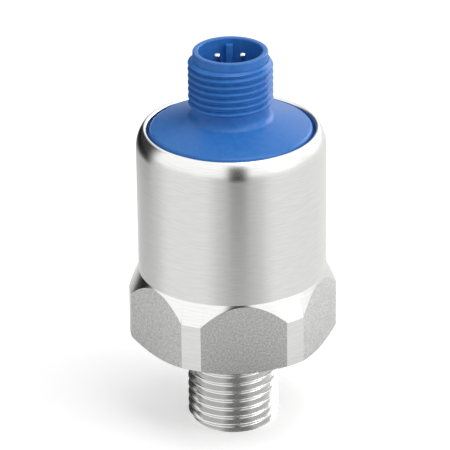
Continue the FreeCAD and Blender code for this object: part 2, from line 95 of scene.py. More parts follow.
# %% [markdown]
# ## Drawing and turning
# Nearly every piece here is round. It could be a stack of cylinders and cones, but
# then every step would need its own fit and every edge its own bevel. A lathe makes
# the whole shape from one outline, and so does this helper. Each corner of an outline
# carries its own rounding, because no real edge is perfectly sharp and a small arc is
# what catches the light. The arc is worked out from the corner and its two
# neighbours, so the outline itself stays short.

# %% Rounding a corner
ARC_DEGREES = 9
FINE_EDGE = 0.05
SMALL_EDGE = 0.1
BROKEN_EDGE = 0.12
SOFT_EDGE = 0.2


def rounded_corner(before, corner, after, rounding):
    """Points on the arc that takes the place of one corner."""
    back = (before - corner).normalized()
    ahead = (after - corner).normalized()
    turn = math.pi - back.angle(ahead)
    start = corner + back * rounding * math.tan(turn / 2)
    centre = corner + (back + ahead).normalized() * rounding / math.cos(turn / 2)
    spoke = start - centre
    side = 1 if back.x * ahead.y - back.y * ahead.x < 0 else -1
    steps = max(3, math.ceil(math.degrees(turn) / ARC_DEGREES))
    angles = [side * turn * step / steps for step in range(steps + 1)]
    return [centre + Vector((spoke.x * math.cos(angle) - spoke.y * math.sin(angle),
                             spoke.x * math.sin(angle) + spoke.y * math.cos(angle)))
            for angle in angles]


def rounded_points(corners, closed):
    """Points along an outline of (radius, height, rounding) corners."""
    points = []
    count = len(corners)
    for index, (across, along, rounding) in enumerate(corners):
        corner = Vector((across, along))
        if rounding == 0 or (not closed and index in (0, count - 1)):
            points.append(corner)
        else:
            before = Vector(corners[index - 1][:2])
            after = Vector(corners[(index + 1) % count][:2])
            points += rounded_corner(before, corner, after, rounding)
    return points


print("a square corner becomes", len(rounded_points(
    [(0, 0, 0), (1, 0, SMALL_EDGE), (1, 1, 0)], closed=False)) - 2, "points")

# %% [markdown]
# The outline itself is drawn as by hand: one vertex is extruded from point to point.
# A closed outline gets one more edge, from its last vertex to its first. An operator
# acts on all that is selected, so each helper first says which piece it works on.


# %% Chain of edges
def select_only(piece):
    bpy.ops.object.select_all(action="DESELECT")
    piece.select_set(True)
    bpy.context.view_layer.objects.active = piece


def edit_all(piece):
    """Open a piece in edit mode, with all of its mesh selected."""
    select_only(piece)
    bpy.ops.object.mode_set(mode="EDIT")
    bpy.ops.mesh.select_all(action="SELECT")


def leave_edit():
    bpy.ops.object.mode_set(mode="OBJECT")


def close_chain(piece, count):
    """Join the last of a chain's vertices to the first."""
    bpy.ops.mesh.select_all(action="DESELECT")
    leave_edit()
    piece.data.vertices[0].select = True
    piece.data.vertices[count - 1].select = True
    bpy.ops.object.mode_set(mode="EDIT")
    bpy.ops.mesh.edge_face_add()


def draw_chain(name, points, closed):
    """A chain of edges in the XZ plane through (radius, height) points."""
    bpy.ops.object.select_all(action="DESELECT")
    bpy.ops.mesh.primitive_plane_add(
        size=MM, location=(points[0].x * MM, 0, points[0].y * MM))
    piece = bpy.context.object
    piece.name = name
    bpy.ops.object.transform_apply(location=True, rotation=True, scale=True)
    edit_all(piece)
    bpy.ops.mesh.merge(type="CENTER")
    for here, there in zip(points, points[1:]):
        step = (there - here) * MM
        bpy.ops.mesh.extrude_region_move(
            TRANSFORM_OT_translate={"value": (step.x, 0, step.y)})
    if closed:
        close_chain(piece, len(points))
    leave_edit()
    return piece


# %% [markdown]
# Spin carries the chain once round the axis. Points that fall together, on the axis
# and at the seam, are merged, and the faces are then turned to point outwards.

# %% Turning an outline into a solid
SEGMENTS = 192
MERGE_DISTANCE = 0.0005 * MM


def turn_solid(name, corners, segments=SEGMENTS):
    """A solid of revolution about Z. Corners at radius 0 close on the axis."""
    closed = corners[0][0] > 0 or corners[-1][0] > 0
    piece = draw_chain(name, rounded_points(corners, closed), closed)
    edit_all(piece)
    bpy.ops.mesh.spin(
        steps=segments, angle=math.tau, center=(0, 0, 0), axis=(0, 0, 1),
        use_auto_merge=True)
    bpy.ops.mesh.select_all(action="SELECT")
    bpy.ops.mesh.remove_doubles(threshold=MERGE_DISTANCE)
    bpy.ops.mesh.normals_make_consistent(inside=False)
    leave_edit()
    return piece


# %% [markdown]
# Turned pieces are joined and cut with booleans. The exact solver keeps the result
# closed, and its shortest edges are merged away. The report after each step counts
# open edges, since a solid that isn't closed shows up there long before it shows in a
# picture.

# %% Joining and cutting
ON_PLANE = 1e-8


def combine(piece, tool, operation):
    """Union, difference or intersection with another solid, which is used up."""
    select_only(piece)
    modifier = piece.modifiers.new(operation.lower(), "BOOLEAN")
    modifier.operation = operation
    modifier.object = tool
    modifier.solver = "EXACT"
    bpy.ops.object.modifier_apply(modifier=modifier.name)
    select_only(tool)
    bpy.ops.object.delete()
    edit_all(piece)
    bpy.ops.mesh.remove_doubles(threshold=MERGE_DISTANCE)
    bpy.ops.mesh.dissolve_degenerate(threshold=MERGE_DISTANCE)
    leave_edit()


def cut_plane(place, normal, clear_outer=True):
    """Cut the mesh in edit mode by a plane, drop one side and fill the cut."""
    bpy.ops.mesh.select_all(action="SELECT")
    bpy.ops.mesh.bisect(plane_co=place, plane_no=normal, use_fill=True,
                        clear_outer=clear_outer, clear_inner=not clear_outer,
                        threshold=ON_PLANE)


def open_edges(piece):
    """Edges that don't have a face on each side: 0 on a closed solid."""
    sides = {}
    for face in piece.data.polygons:
        for key in face.edge_keys:
            sides[key] = sides.get(key, 0) + 1
    return sum(1 for count in sides.values() if count != 2)


def report(piece):
    triangles = sum(len(face.vertices) - 2 for face in piece.data.polygons)
    print("%s: %d triangles, %d open edges" % (piece.name, triangles, open_edges(piece)))


# %% [markdown]
# ## A real thread
# A stack of rings would look like a thread from afar, but its turns wouldn't climb. A
# real thread is one short outline carried round and up, and the Screw modifier does
# exactly that: one pitch of the outline, lifted by one pitch in each turn, gives a
# surface whose turns meet edge to edge. Its two ragged ends are then cut off square
# and filled. Crests and roots are rounded, as a rolled, cut or moulded thread's are.

# %% Threaded rod
THREAD_STEPS = 112


def thread_outline(crest, start, pitch, half_angle, crest_rounding, root_rounding):
    """One pitch of a thread. Its root follows from the pitch and the flanks' slope."""
    rounding_gain = 1 / math.sin(half_angle) - 1
    apex = crest + crest_rounding * rounding_gain
    valley = apex - pitch / 2 / math.tan(half_angle)
    middle = (apex + valley) / 2
    print("thread's root radius %.3f mm" % (valley + root_rounding * rounding_gain))
    return [
        (middle, start, 0),
        (apex, start + pitch / 4, crest_rounding),
        (valley, start + pitch * 3 / 4, root_rounding),
        (middle, start + pitch, 0),
    ]


def threaded_rod(name, crest, thread, low, high, crest_z):
    """A right-hand rod from low to high, with a crest at height crest_z above +X."""
    pitch = thread["pitch"]
    start = crest_z - pitch / 4 - pitch * math.ceil((crest_z - low) / pitch + 1)
    outline = rounded_points(thread_outline(crest, start, **thread), closed=False)
    rod = draw_chain(name, outline, closed=False)
    screw = rod.modifiers.new("thread", "SCREW")
    screw.axis = "Z"
    screw.angle = math.tau
    screw.screw_offset = pitch * MM
    screw.iterations = math.ceil((high - start) / pitch + 1)
    screw.steps = THREAD_STEPS
    screw.render_steps = THREAD_STEPS
    select_only(rod)
    bpy.ops.object.modifier_apply(modifier=screw.name)
    edit_all(rod)
    bpy.ops.mesh.remove_doubles(threshold=MERGE_DISTANCE)
    cut_plane((0, 0, low * MM), (0, 0, 1), clear_outer=False)
    cut_plane((0, 0, high * MM), (0, 0, 1))
    bpy.ops.mesh.select_all(action="SELECT")
    bpy.ops.mesh.normals_make_consistent(inside=False)
    leave_edit()
    return rod


# %% [markdown]
# ## Steel body
# The stud, hexagon and can are turned from one bar of hexagonal stainless steel. The
# lathe takes the bar's corners down to a round, runs a steep cone up to the can and
# rolls the can's rim over at the end. A hexagonal prism with bevels could stand in for
# it, but the curved edges where cone and flats meet would be guesswork. So it is made
# as the real one is: one turned outline first, and then six flat cuts.

# %% Sizes outside, from the stud's relief up to the lip
RELIEF_RADIUS = STUD_RADIUS - 0.98
RELIEF_Z = HEX_Z - 1.7
RELIEF_FILLET = 0.25
UNDERCUT_RADIUS = STUD_RADIUS + 0.6
UNDERCUT_Z = HEX_Z + 0.3
JOINT_Z = RELIEF_Z - 0.5
HEX_CHAMFER_RADIUS = FLAT_RADIUS - 0.8
HEX_CHAMFER_SLOPE = math.tan(math.radians(30))
CORNER_LOW_Z = HEX_Z + (CORNER_RADIUS - HEX_CHAMFER_RADIUS) * HEX_CHAMFER_SLOPE
CORNER_TOP_Z = HEX_Z + 8.1
CONE_SLOPE = math.tan(math.radians(65))
CAN_RADIUS = FLAT_RADIUS - 0.1
CONE_TOP_Z = CORNER_TOP_Z + (CORNER_RADIUS - CAN_RADIUS) * CONE_SLOPE
SHOULDER = 4.33
SHOULDER_TOP_Z = CONNECTOR_Z + 6.69
LIP_RADIUS = CAN_RADIUS - 1.5
LIP_ROUNDING = 0.35
print("can %.2f across, lip's edge %.2f across" % (2 * CAN_RADIUS, 2 * LIP_RADIUS))

# %% Sizes inside, from the lip's hook down to the pressure chamber
FLANGE_BORE = CAN_RADIUS - 0.8
HOOK_Z = CONNECTOR_Z + 2.8
HOOK_RISE = 0.8
CELL_BORE = high_mm("ceramic_base").x + 0.2
CELL_BORE_TOP_Z = CELL_TOP_Z + 0.65
CAVITY = CELL_BORE + 2.4
SEAL_OUTER = CELL_BORE - 0.9
SEAL_INNER = SEAL_OUTER - 2.0
CHAMBER_Z = SEAT_Z - 0.4
print("wall %.2f round the cavity" % (CAN_RADIUS - CAVITY))

# %% [markdown]
# The can's shoulder is a large arc that runs into the small arc of the lip. The two
# arcs touch without a kink where their centres line up, so the place is worked out
# from that, and the lip's top can then be held against the frame's.

# %% Shoulder and lip
ARC_STEPS = 12


def arc(centre, radius, start, end):
    """Points on an arc, as corners that need no rounding of their own."""
    turns = [start + (end - start) * step / ARC_STEPS for step in range(ARC_STEPS + 1)]
    return [(centre.x + radius * math.cos(turn), centre.y + radius * math.sin(turn), 0)
            for turn in turns]


def shoulder_corners():
    """The can's rounded shoulder, and the small arc that it runs into at the lip."""
    centre = Vector((CAN_RADIUS - SHOULDER, SHOULDER_TOP_Z - SHOULDER))
    reach = SHOULDER - LIP_ROUNDING
    meet = math.acos((LIP_RADIUS + LIP_ROUNDING - centre.x) / reach)
    lip_centre = centre + reach * Vector((math.cos(meet), math.sin(meet)))
    print("lip's top: drawn at %.3f, in the frame at %.3f" % (
        lip_centre.y + LIP_ROUNDING, LIP_Z))
    return (arc(centre, SHOULDER, 0, meet)
            + arc(lip_centre, LIP_ROUNDING, meet, math.pi)[1:])


# %% Turned blank with its cavities
body = turn_solid("steel_body_turned", [
    (0, JOINT_Z, 0),
    (RELIEF_RADIUS, JOINT_Z, 0),
    (RELIEF_RADIUS, UNDERCUT_Z, RELIEF_FILLET),
    (UNDERCUT_RADIUS, UNDERCUT_Z, SMALL_EDGE),
    (UNDERCUT_RADIUS, HEX_Z, FINE_EDGE),
    (HEX_CHAMFER_RADIUS, HEX_Z, BROKEN_EDGE),
    (CORNER_RADIUS, CORNER_LOW_Z, BROKEN_EDGE),
    (CORNER_RADIUS, CORNER_TOP_Z, BROKEN_EDGE),
    (CAN_RADIUS, CONE_TOP_Z, BROKEN_EDGE),
] + shoulder_corners() + [
    (LIP_RADIUS, HOOK_Z + HOOK_RISE, FINE_EDGE),
    (FLANGE_BORE, HOOK_Z, SMALL_EDGE),
    (FLANGE_BORE, CONNECTOR_Z, SMALL_EDGE),
    (CAVITY, CONNECTOR_Z, SMALL_EDGE),
    (CAVITY, CELL_BORE_TOP_Z, SOFT_EDGE),
    (CELL_BORE, CELL_BORE_TOP_Z, SMALL_EDGE),
    (CELL_BORE, SEAT_Z, SMALL_EDGE),
    (SEAL_OUTER, SEAT_Z, FINE_EDGE),
    (SEAL_OUTER, GROOVE_Z, SMALL_EDGE),
    (SEAL_INNER, GROOVE_Z, SMALL_EDGE),
    (SEAL_INNER, CHAMBER_Z, FINE_EDGE),
    (0, CHAMBER_Z, 0),
])
report(body)

# %% [markdown]
# The planes of the flats are set square to six directions round the axis. After each
# cut the fill closes the solid with one flat face. A very small bevel then breaks the
# edge of each flat, as tumbling does in the factory.

# %% Six flats
FLAT_EDGE = 0.05
FLAT_ALIGNMENT = 0.9999
FLAT_TOLERANCE = 0.01
flat_normals = [Vector((math.cos(angle), math.sin(angle), 0))
                for angle in (math.radians(30 + 60 * number) for number in range(6))]


def cut_flats(piece):
    edit_all(piece)
    for normal in flat_normals:
        cut_plane(normal * FLAT_RADIUS * MM, normal)
    bpy.ops.mesh.select_all(action="DESELECT")
    leave_edit()


def is_flat(face):
    """True on a face that lies in the plane of one of the hexagon's flats."""
    for normal in flat_normals:
        if face.normal.dot(normal) > FLAT_ALIGNMENT:
            return face.center.dot(normal) > (FLAT_RADIUS - FLAT_TOLERANCE) * MM
    return False


def break_flat_edges(piece):
    bpy.ops.object.mode_set(mode="EDIT")
    bpy.ops.mesh.select_mode(type="FACE")
    bpy.ops.mesh.select_all(action="DESELECT")
    leave_edit()
    for face in piece.data.polygons:
        face.select = is_flat(face)
    bpy.ops.object.mode_set(mode="EDIT")
    bpy.ops.mesh.region_to_loop()
    bpy.ops.mesh.bevel(offset=FLAT_EDGE * MM, segments=2, affect="EDGES")
    bpy.ops.mesh.select_mode(type="VERT")
    leave_edit()


cut_flats(body)
break_flat_edges(body)
report(body)

# %% [markdown]
# ## Process stud
# The stud carries a parallel pipe thread: 55 degree flanks with rounded crests and
# roots, 19 turns to the inch. Its ends could be trimmed by hand, vertex by vertex. It
# is quicker to thread a rod all the way, lay a turned blank with a lead-in chamfer
# over it, and keep only what both share. That leaves the thread fading out on the
# chamfer, as a die leaves it.

# %% Thread the stud and join it to the body
PIPE_PITCH = 25.4 / 19
PIPE_ROUNDING = 0.137329 * PIPE_PITCH
PIPE_THREAD = {"pitch": PIPE_PITCH, "half_angle": math.radians(27.5),
               "crest_rounding": PIPE_ROUNDING, "root_rounding": PIPE_ROUNDING}
STUD_CREST_Z = 8.598
STUD_END_RADIUS = STUD_RADIUS - 0.81
STUD_CHAMFER_Z = 1.12
BLANK_RADIUS = STUD_RADIUS + 0.02
RUNOUT_RADIUS = STUD_RADIUS - 0.55
RUNOUT_Z = RELIEF_Z - 0.3
ROD_LOW_Z = -1.0
ROD_HIGH_Z = RELIEF_Z + 0.4
stud = threaded_rod("stud_thread", STUD_RADIUS, PIPE_THREAD, ROD_LOW_Z, ROD_HIGH_Z,
                    STUD_CREST_Z)
report(stud)
blank = turn_solid("stud_blank", [
    (0, 0, 0),
    (STUD_END_RADIUS, 0, BROKEN_EDGE),
    (BLANK_RADIUS, STUD_CHAMFER_Z, 0),
    (BLANK_RADIUS, RUNOUT_Z, 0),
    (RUNOUT_RADIUS, RELIEF_Z, 0),
    (0, RELIEF_Z, 0),
])
combine(stud, blank, "INTERSECT")
report(stud)
combine(body, stud, "UNION")
report(body)

# %% [markdown]
# The pressure port is one hole from the stud's end to the chamber under the cell. Its
# mouth is chamfered. Both are one turned cutter, shaped like the drill that does it.

# %% Drill the pressure port
PORT_CHAMFER = 0.4
DRILL_LEAD = 1.0
port = turn_solid("port_drill", [
    (0, -DRILL_LEAD, 0),
    (PORT_RADIUS + (PORT_CHAMFER + DRILL_LEAD), -DRILL_LEAD, 0),
    (PORT_RADIUS, PORT_CHAMFER, SMALL_EDGE),
    (PORT_RADIUS, CHAMBER_Z + DRILL_LEAD, 0),
    (0, CHAMBER_Z + DRILL_LEAD, 0),
])
combine(body, port, "DIFFERENCE")
report(body)

# %% [markdown]
# ## Connector moulding
# The blue part is one moulding in a filled nylon. It is a disc that the steel rim
# holds, a neck, a threaded sleeve for the cable's nut, a plain ring to guide it and a
# socket with a coding key. A mould makes all of that in one piece, so it isn't put
# together from separate parts here either. It is turned in one outline as a solid, the
# thread is joined on, and the socket is cut last, so the socket's wall runs clean from
# rim to floor.

# %% Sizes of the moulding
SEAL_SEAT = FLANGE_BORE - 1.3
SKIRT_BORE = SEAL_SEAT - 1.5
FLANGE_FIT = 0.05
FLANGE_RADIUS = FLANGE_BORE - FLANGE_FIT
FLANGE_Z = CONNECTOR_Z + 1.6
FLANGE_EDGE = 0.15
HOLLOW_Z = CONNECTOR_Z + 3.5
HOLLOW_FILLET = 0.3
BOSS_RADIUS = 5.2
BOSS_Z = CONNECTOR_Z + 1.5
HOOK_SLOPE = HOOK_RISE / (FLANGE_BORE - LIP_RADIUS)
DISC_GAP = 0.4
DISC_RADIUS = LIP_RADIUS - DISC_GAP
DISC_Z = CONNECTOR_Z + 5.1
DISC_ROUNDING = 0.6
NECK_RADIUS = THREAD_RADIUS - 0.6
NECK_FOOT_Z = DISC_Z + 1.85
NECK_FILLET = 1.2
THREAD_Z = NECK_FOOT_Z + 1.75
NECK_TOP_Z = THREAD_Z + 0.05
THREAD_ROOT = THREAD_RADIUS - 0.55
CORE_SINK = 0.1
CORE_RADIUS = THREAD_ROOT - CORE_SINK
CORE_Z = THREAD_Z + 0.15
PILOT_Z = RIM_Z - 1.3
PILOT_RADIUS = THREAD_RADIUS - 0.72
SOCKET_RADIUS = PILOT_RADIUS - 0.81
SOCKET_Z = RIM_Z - 8.7
print("disc %.2f across, neck %.2f, plain ring %.2f, socket %.2f" % (
    2 * DISC_RADIUS, 2 * NECK_RADIUS, 2 * PILOT_RADIUS, 2 * SOCKET_RADIUS))

# %% Outline of the moulding
moulding = turn_solid("connector_moulding", [
    (0, BOSS_Z, 0),
    (BOSS_RADIUS, BOSS_Z, SOFT_EDGE),
    (BOSS_RADIUS, HOLLOW_Z, HOLLOW_FILLET),
    (SKIRT_BORE, HOLLOW_Z, HOLLOW_FILLET),
    (SKIRT_BORE, CONNECTOR_Z, FLANGE_EDGE),
    (SEAL_SEAT, CONNECTOR_Z, SMALL_EDGE),
    (SEAL_SEAT, FLANGE_Z, SMALL_EDGE),
    (FLANGE_RADIUS, FLANGE_Z, FLANGE_EDGE),
    (FLANGE_RADIUS, HOOK_Z + FLANGE_FIT * HOOK_SLOPE, SMALL_EDGE),
    (DISC_RADIUS, HOOK_Z + HOOK_RISE + DISC_GAP * HOOK_SLOPE, FINE_EDGE),
    (DISC_RADIUS, DISC_Z, DISC_ROUNDING),
    (NECK_RADIUS, NECK_FOOT_Z, NECK_FILLET),
    (NECK_RADIUS, NECK_TOP_Z, SMALL_EDGE),
    (CORE_RADIUS, CORE_Z, 0),
    (CORE_RADIUS, PILOT_Z - CORE_SINK, 0),
    (PILOT_RADIUS, PILOT_Z, FINE_EDGE),
    (PILOT_RADIUS, RIM_Z, SOFT_EDGE),
    (0, RIM_Z, 0),
])
report(moulding)

# %% [markdown]
# The sleeve's thread is metric, with a one millimetre pitch and 60 degree flanks. As
# on the stud, a rod is threaded and cut to an envelope, whose slopes give the thread
# its lead-in at each end. The core of the moulding lies a little below the thread's
# root, so the two solids overlap and join cleanly.

# %% Thread of the connector
METRIC_THREAD = {"pitch": 1.0, "half_angle": math.radians(30),
                 "crest_rounding": 0.18, "root_rounding": 0.15}
SLEEVE_CREST = THREAD_RADIUS - 0.02
SLEEVE_CREST_Z = 54.02
SLEEVE_SPARE = 0.3
ENVELOPE_FOOT = NECK_RADIUS - 0.06
ENVELOPE_Z = THREAD_Z - 0.04
ENVELOPE_RADIUS = THREAD_RADIUS + 0.06
FULL_THREAD_Z = THREAD_Z + 0.44
LEAD_IN_RADIUS = THREAD_RADIUS - 0.57
LEAD_IN_Z = PILOT_Z - 0.55
sleeve = threaded_rod("connector_thread", SLEEVE_CREST, METRIC_THREAD,
                      THREAD_Z - SLEEVE_SPARE, PILOT_Z + SLEEVE_SPARE, SLEEVE_CREST_Z)
envelope = turn_solid("thread_envelope", [
    (0, ENVELOPE_Z, 0),
    (ENVELOPE_FOOT, ENVELOPE_Z, 0),
    (ENVELOPE_RADIUS, FULL_THREAD_Z, 0),
    (ENVELOPE_RADIUS, LEAD_IN_Z, 0),
    (LEAD_IN_RADIUS, PILOT_Z, 0),
    (0, PILOT_Z, 0),
])
combine(sleeve, envelope, "INTERSECT")
report(sleeve)
combine(moulding, sleeve, "UNION")
report(moulding)

# %% [markdown]
# The socket takes the plug. It could be left open in the outline, but the thread
# would then be joined to a thin wall. Cutting it from the finished outside is safer,
# and the cutter's wide head rounds the socket's mouth in the same cut.

# %% Socket
SOCKET_HEAD = 1
socket = turn_solid("socket_cut", [
    (0, SOCKET_Z, 0),
    (SOCKET_RADIUS, SOCKET_Z, SOFT_EDGE),
    (SOCKET_RADIUS, RIM_Z, SOFT_EDGE),
    (SOCKET_RADIUS + SOCKET_HEAD, RIM_Z, 0),
    (SOCKET_RADIUS + SOCKET_HEAD, RIM_Z + SOCKET_HEAD, 0),
    (0, RIM_Z + SOCKET_HEAD, 0),
])
combine(moulding, socket, "DIFFERENCE")
report(moulding)

# %% [markdown]
# The coding key is a small rib inside the socket that lets the plug in one way round.
# It isn't round, so it can't be turned. It starts as a cube set at its angle, its
# edges are bevelled, and its back is sunk into the wall before the two are joined.

# %% Coding key
KEY_ANGLE = math.radians(85.6)
KEY_WIDTH = 1.0
KEY_HEIGHT = 0.75
KEY_SINK = 0.4
KEY_EDGE = 0.15
KEY_FOOT_Z = SOCKET_Z - 0.2
KEY_TOP_Z = RIM_Z - 0.8
KEY_REACH = SOCKET_RADIUS - KEY_HEIGHT / 2 + KEY_SINK / 2


def add_key():
    bpy.ops.object.select_all(action="DESELECT")
    bpy.ops.mesh.primitive_cube_add(
        size=MM,
        location=(KEY_REACH * math.cos(KEY_ANGLE) * MM, KEY_REACH * math.sin(KEY_ANGLE) * MM,
                  (KEY_FOOT_Z + KEY_TOP_Z) / 2 * MM),
        rotation=(0, 0, KEY_ANGLE),
        scale=(KEY_HEIGHT + KEY_SINK, KEY_WIDTH, KEY_TOP_Z - KEY_FOOT_Z))
    key = bpy.context.object
    key.name = "coding_key"
    bpy.ops.object.transform_apply(location=True, rotation=True, scale=True)
    edit_all(key)
    bpy.ops.mesh.bevel(offset=KEY_EDGE * MM, segments=3, affect="EDGES")
    leave_edit()
    return key


combine(moulding, add_key(), "UNION")
report(moulding)

# %% [markdown]
# ## Contact pins
# Four plated pins stand in the socket, a little below its rim. They are alike, so one
# pin is turned at the axis, with a collar under the moulding, a thin tail for the
# board and a rounded tip. It is then copied to its four places, each copy with its own
# mesh. The moulding gets a bore for each, so no pin cuts through it.

# %% Copying and moving
PIN_CIRCLE = 2.55


def move_mesh(piece, across, along):
    """Shift a piece's mesh, in millimetres, and leave its object at the origin."""
    edit_all(piece)
    bpy.ops.transform.translate(value=(across * MM, along * MM, 0))
    leave_edit()


def copy_mesh(piece, name):
    select_only(piece)
    bpy.ops.object.duplicate()
    twin = bpy.context.object
    twin.name = name
    return twin


def pin_places():
    """The four places, each half way between the key and the next quarter turn."""
    angles = [KEY_ANGLE + math.radians(45 + 90 * number) for number in range(4)]
    return [(PIN_CIRCLE * math.cos(angle), PIN_CIRCLE * math.sin(angle)) for angle in angles]


print("pins at", [(round(across, 2), round(along, 2)) for across, along in pin_places()])

# %% One pin, four places
PIN_SEGMENTS = 40
PIN_RADIUS = 0.5
PIN_ROUNDING = 0.4
PIN_TAIL_RADIUS = 0.35
PIN_COLLAR_RADIUS = 0.8
PIN_COLLAR_Z = BOSS_Z - 0.8
PIN_COLLAR_EDGE = 0.08
BORE_SPARE = 0.2

first_pin = turn_solid("pin_pattern", [
    (0, PIN_TAIL_Z, 0),
    (PIN_TAIL_RADIUS, PIN_TAIL_Z, SMALL_EDGE),
    (PIN_TAIL_RADIUS, PIN_COLLAR_Z, FINE_EDGE),
    (PIN_COLLAR_RADIUS, PIN_COLLAR_Z, PIN_COLLAR_EDGE),
    (PIN_COLLAR_RADIUS, BOSS_Z, 0),
    (PIN_RADIUS, BOSS_Z, 0),
    (PIN_RADIUS, PIN_TIP_Z, PIN_ROUNDING),
    (0, PIN_TIP_Z, 0),
], PIN_SEGMENTS)
first_bore = turn_solid("pin_bore", [
    (0, BOSS_Z - BORE_SPARE, 0),
    (PIN_RADIUS, BOSS_Z - BORE_SPARE, 0),
    (PIN_RADIUS, SOCKET_Z + BORE_SPARE, 0),
    (0, SOCKET_Z + BORE_SPARE, 0),
], PIN_SEGMENTS)
pins = []
for number, (across, along) in enumerate(pin_places(), start=1):
    pin = copy_mesh(first_pin, "contact_pin_%d_turned" % number)
    move_mesh(pin, across, along)
    pins.append(pin)
    bore = copy_mesh(first_bore, "pin_bore_%d" % number)
    move_mesh(bore, across, along)
    combine(moulding, bore, "DIFFERENCE")
for pattern in (first_pin, first_bore):
    select_only(pattern)
    bpy.ops.object.delete()
report(pins[0])
report(moulding)

# %% [markdown]
# ## Smooth shading
# Facets must not show on what is really round. Smooth shading everywhere would smear
# the real edges, and flat shading would show every step. The spin makes steps under
# two degrees, or nine on the thin pins, the screw under four, and the roundings twelve
# at most. Where two cuts meet with no rounding, the step is mostly far larger. So an
# angle tells the two apart.

# %% Shade by angle
CREASE = math.radians(18)
for piece in [body, moulding] + pins:
    select_only(piece)
    bpy.ops.object.shade_smooth_by_angle(angle=CREASE, keep_sharp_edges=False)
print("shaded", 2 + len(pins), "pieces")

# %% [markdown]
# ## Finishes
# Every finish is a small set of nodes that reads the piece's own Object coordinates,
# so the grain stays with the metal when the piece turns. The nodes could be wired by
# hand one by one. Two helpers do it instead: one gives a node's inputs their values or
# links, the other adds a node. A number that is the same all over the surface is set
# straight on the shader.


# %% Wiring nodes
def feed(tree, node, inputs):
    """Give a node's inputs, by name or number, a fixed value or another node's output."""
    for name, value in inputs.items():
        if isinstance(value, bpy.types.NodeSocket):
            tree.links.new(value, node.inputs[name])
        else:
            node.inputs[name].default_value = value


def add_node(tree, kind, inputs, **settings):
    node = tree.nodes.new("ShaderNode" + kind)
    for setting, value in settings.items():
        setattr(node, setting, value)
    feed(tree, node, inputs)
    return node


def new_finish(name, colour, roughness, metallic=0.0, specular=0.5):
    """A material, its node tree and its shader."""
    finish = bpy.data.materials.new(name)
    finish.use_nodes = True
    shader = finish.node_tree.nodes["Principled BSDF"]
    feed(finish.node_tree, shader, {
        "Base Color": (*colour, 1), "Roughness": roughness, "Metallic": metallic,
        "Specular IOR Level": specular})
    return finish, finish.node_tree, shader


# %% [markdown]
# Grain comes from noise. Measured in millimetres and stretched along one axis, the
# same noise gives speckle, rings or clouds. It can vary a colour, a roughness or the
# height of the surface.

# %% Grain, and what it varies
EVEN = (1.0, 1.0, 1.0)


def grain(tree, stretch, scale, detail=3.0):
    """Noise over the piece in millimetres, stretched along some axes."""
    place = add_node(tree, "TexCoord", {}).outputs["Object"]
    stretched = add_node(tree, "Mapping", {
        "Vector": place, "Scale": [value / MM for value in stretch]}).outputs["Vector"]
    return add_node(tree, "TexNoise", {
        "Vector": stretched, "Scale": scale, "Detail": detail}).outputs["Fac"]


def spread(tree, grey, low, high, low_out, high_out):
    """Map a grey value from one range to another."""
    return add_node(tree, "MapRange", {
        "Value": grey, "From Min": low, "From Max": high,
        "To Min": low_out, "To Max": high_out}).outputs["Result"]


def tint(tree, grey, low, high, dark, pale):
    """A colour between dark and pale, by a grey value."""
    return add_node(tree, "Mix", {
        "Factor": spread(tree, grey, low, high, 0, 1), "A": (*dark, 1), "B": (*pale, 1)},
        data_type="RGBA").outputs["Result"]


def relief(tree, grey, depth):
    """A surface raised by a grey value, depth in millimetres."""
    return add_node(tree, "Bump", {
        "Height": grey, "Distance": depth * MM}).outputs["Normal"]


# %% [markdown]
# ### Stainless steel, four ways
# The can and its shoulder are fine turned: the tool leaves rings too small to see,
# which smear every reflection up and down the can but keep it crisp round it. That is
# anisotropy, with its tangent round the axis. The rings could be modelled, but at this
# size no mesh would hold them. The cone and the corners are turned the same way but
# smoother. The flats keep the bar maker's dull, speckled skin. The thread is cut
# bright.

# %% Stainless finishes
STEEL = (0.80, 0.80, 0.79)
TURNED_DARK = (0.76, 0.76, 0.75)
TURNED_PALE = (0.83, 0.83, 0.82)
BAR_GREY = (0.5, 0.5, 0.5)
BAR_DARK = (0.54, 0.54, 0.535)
BAR_PALE = (0.80, 0.80, 0.795)


def turned_steel(name, roughness, streak, ring_scale):
    finish, tree, shader = new_finish(name, STEEL, roughness, metallic=1.0)
    around = add_node(tree, "Tangent", {}, direction_type="RADIAL", axis="Z")
    rings = grain(tree, (0.05, 0.05, 1.0), ring_scale)
    feed(tree, shader, {
        "Anisotropic": streak,
        "Anisotropic Rotation": 0.25,
        "Tangent": around.outputs["Tangent"],
        "Base Color": tint(tree, rings, 0.3, 0.7, TURNED_DARK, TURNED_PALE),
        "Normal": relief(tree, rings, 0.002)})
    return finish


def drawn_steel(name):
    finish, tree, shader = new_finish(name, BAR_GREY, 0.5, metallic=1.0)
    speckle = grain(tree, EVEN, 4.0, detail=4.0)
    feed(tree, shader, {
        "Base Color": tint(tree, speckle, 0.35, 0.65, BAR_DARK, BAR_PALE),
        "Roughness": spread(tree, speckle, 0.3, 0.7, 0.42, 0.6),
        "Normal": relief(tree, speckle, 0.025)})
    return finish


def cut_steel(name):
    finish, tree, shader = new_finish(name, STEEL, 0.22, metallic=1.0)
    marks = grain(tree, EVEN, 3.0)
    feed(tree, shader, {
        "Roughness": spread(tree, marks, 0.3, 0.7, 0.13, 0.22),
        "Normal": relief(tree, marks, 0.0015)})
    return finish


can_finish = turned_steel("fine_turned_can_and_shoulder", 0.25, 0.6, 9.0)
cone_finish = turned_steel("turned_cone_and_corners", 0.18, 0.3, 7.0)
flat_finish = drawn_steel("drawn_bar_flats")
thread_finish = cut_steel("cut_thread")
steel_finishes = [can_finish, cone_finish, flat_finish, thread_finish]
print("steel finishes:", [finish.name for finish in steel_finishes])

# %% [markdown]
# The body is one piece with four finishes, so each of its faces is given the one that
# belongs to its place: the flats by their planes, the thread and can by their height
# and radius. What is left, the cone, corners and inside, is smoothly turned.


